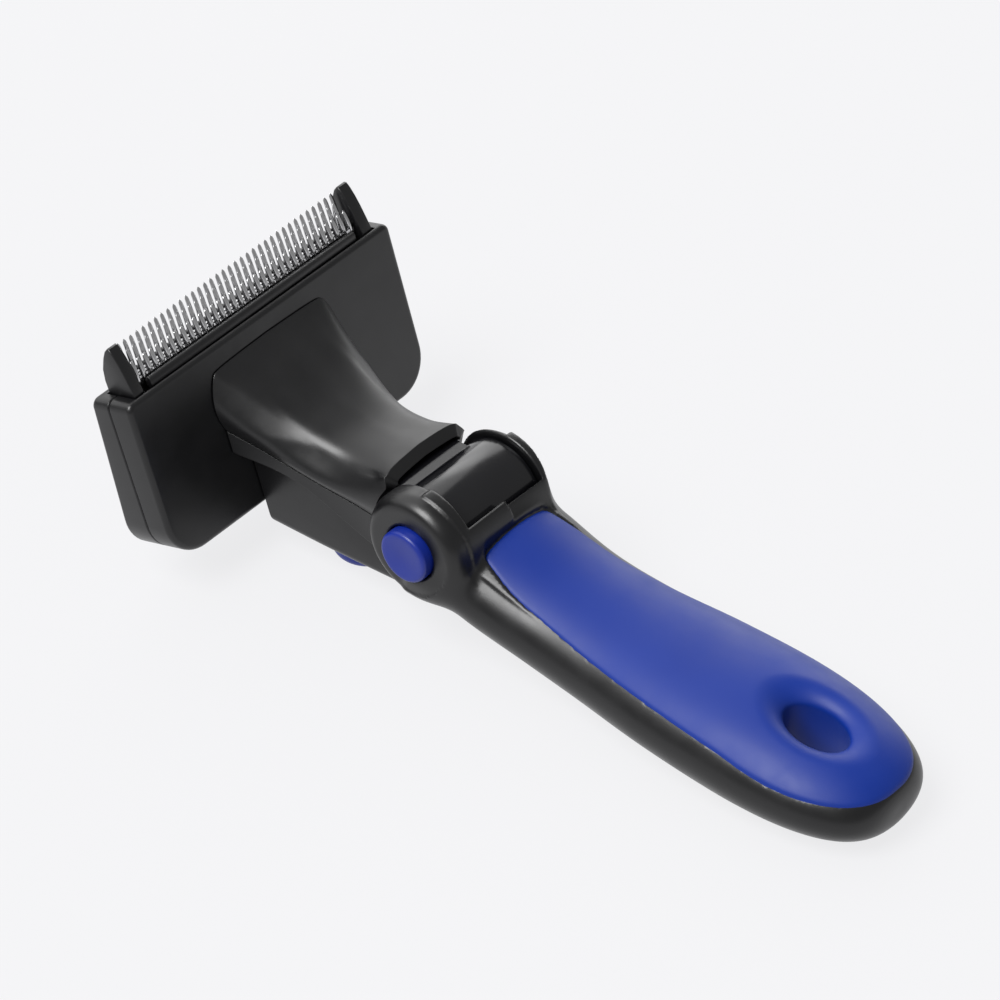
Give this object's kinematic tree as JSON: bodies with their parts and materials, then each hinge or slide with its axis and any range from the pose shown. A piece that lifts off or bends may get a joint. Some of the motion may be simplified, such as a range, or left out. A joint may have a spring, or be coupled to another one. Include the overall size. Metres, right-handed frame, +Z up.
{
  "type": "pet deshedding tool",
  "caption": "Hand-held pet deshedding comb with a tilting head that locks, a fur ejector worked by a thumb button, end guards and a soft two-tone handle with a hanging hole.",
  "frame": {"origin": "middle of the tool's outline on the surface it lies on, teeth up", "axes": "+X along the handle towards its free end, +Y along the row of teeth, +Z up, the way the teeth point"},
  "size_m": [0.1854, 0.084, 0.0586],
  "materials": {
    "black_plastic": "satin, fine mould texture",
    "gloss_black": "polished",
    "boss_plastic": "satin dark grey",
    "soft_grip": "soft-touch blue",
    "button_plastic": "satin blue",
    "inner_plastic": "plain moulded nylon",
    "teeth_steel": "polished stainless steel",
    "screws": "zinc-plated steel",
    "springs": "spring steel wire"
  },
  "bodies": {
    "handle": {"handle_shell": "black_plastic", "grip": "soft_grip", "grip_carrier": "inner_plastic", "handle_cover": "black_plastic", "cover_screw_1": "screws", "cover_screw_2": "screws", "cover_screw_3": "screws", "pivot_pin": "screws", "pivot_cap": "boss_plastic"},
    "lock": {"lock_button": "button_plastic", "lock_gear": "inner_plastic", "lock_spring": "springs"},
    "head": {"neck_top_shell": "black_plastic", "neck_bottom_shell": "black_plastic", "hinge_barrel": "gloss_black", "neck_screw_left": "screws", "neck_screw_right": "screws", "head_front_shell": "black_plastic", "head_back_shell": "black_plastic", "head_screw_1": "screws", "head_screw_2": "screws", "head_screw_3": "screws", "head_screw_4": "screws", "blade_front": "teeth_steel", "blade_middle": "teeth_steel", "blade_back": "teeth_steel", "blade_holder": "inner_plastic", "blade_screw_left": "screws", "blade_screw_right": "screws", "skin_guard_left": "black_plastic", "skin_guard_right": "black_plastic"},
    "ejector": {"ejector_frame": "black_plastic", "pusher_arm": "inner_plastic", "fur_button": "button_plastic", "return_spring_left": "springs", "return_spring_right": "springs"}
  },
  "joints": [
    {"name": "head_tilt", "type": "hinge", "parent": "handle", "child": "head", "pos_m": [-0.02343, 0, 0.0265], "axis": [0, 1, 0], "range_deg": [0, 90]},
    {"name": "lock_push", "type": "slide", "parent": "handle", "child": "lock", "axis": [0, 1, 0], "range_m": [0, 0.003], "stiffness_N_per_m": 900, "springref_m": -0.002, "deforming": ["lock_spring"]},
    {"name": "fur_eject", "type": "slide", "parent": "head", "child": "ejector", "axis": [-0.3173, 0, 0.9483], "range_m": [0, 0.007], "stiffness_N_per_m": 500, "springref_m": -0.005, "deforming": ["return_spring_left", "return_spring_right"]}
  ]
}
